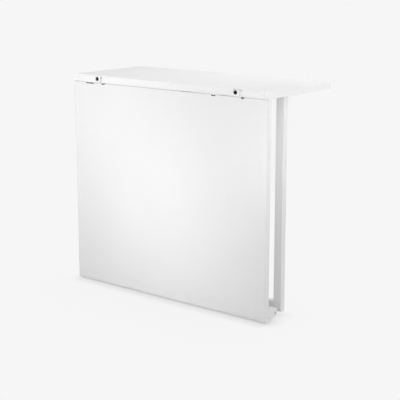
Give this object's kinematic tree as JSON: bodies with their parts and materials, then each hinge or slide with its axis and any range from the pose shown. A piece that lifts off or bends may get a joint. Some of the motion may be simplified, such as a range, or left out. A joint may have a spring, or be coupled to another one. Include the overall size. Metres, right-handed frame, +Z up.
{
  "type": "wall mounted drop leaf table",
  "caption": "Wall shelf with a drop leaf hinged along its front edge and a steel gate that swings out from under it to carry the raised leaf.",
  "frame": {"origin": "centre of the four wall screw holes, on the wall plane", "axes": "+X along the wall to the right as seen from the room, +Y into the wall, +Z up"},
  "size_m": [0.6, 0.25, 0.5335],
  "materials": {
    "white_board": "white foil on particle board, satin",
    "white_edging": "white plastic edging, satin",
    "white_steel": "white powder coat, satin",
    "white_plastic": "white moulded plastic",
    "zinc_steel": "bright zinc plate",
    "nylon": "natural nylon",
    "dark_plastic": "black moulded plastic"
  },
  "bodies": {
    "frame": {"shelf_board": "white_board", "shelf_front_band": "white_edging", "shelf_end_strips": "white_edging", "wall_rail": "white_steel", "wall_foot_plate": "white_steel", "wall_post": "white_steel", "post_plug": "white_plastic", "top_plate": "white_steel", "foot_arm": "white_steel", "gate_pin_upper": "zinc_steel", "gate_pin_lower": "zinc_steel", "thrust_washers": "nylon", "frame_screws": "zinc_steel", "hinge_body_left": "white_plastic", "hinge_body_right": "white_plastic", "hinge_sleeve_left": "dark_plastic", "hinge_sleeve_right": "dark_plastic", "hinge_pin_left": "zinc_steel", "hinge_pin_right": "zinc_steel", "hinge_screws_shelf": "zinc_steel"},
    "leaf": {"leaf_board": "white_board", "leaf_side_bands": "white_edging", "leaf_lip": "white_board", "lip_cap_left": "white_plastic", "lip_cap_right": "white_plastic", "lip_cap_screws": "zinc_steel", "hinge_flap_left": "white_plastic", "hinge_flap_right": "white_plastic", "hinge_screws_leaf": "zinc_steel", "rest_block": "white_plastic", "rest_block_screws": "zinc_steel"},
    "gate": {"gate_outer_stile": "white_steel", "gate_pivot_stile": "white_steel", "gate_rail": "white_steel", "gate_stile_cap": "white_plastic", "gate_bush_upper": "nylon", "gate_bush_lower": "nylon"}
  },
  "joints": [
    {"name": "leaf_hinge", "type": "hinge", "parent": "frame", "child": "leaf", "pos_m": [0, -0.2415, 0.264], "axis": [-1, 0, 0], "range_deg": [0, 90]},
    {"name": "gate_swing", "type": "hinge", "parent": "frame", "child": "gate", "pos_m": [0, -0.1711, 0], "axis": [0, 0, -1], "range_deg": [0, 5]}
  ]
}
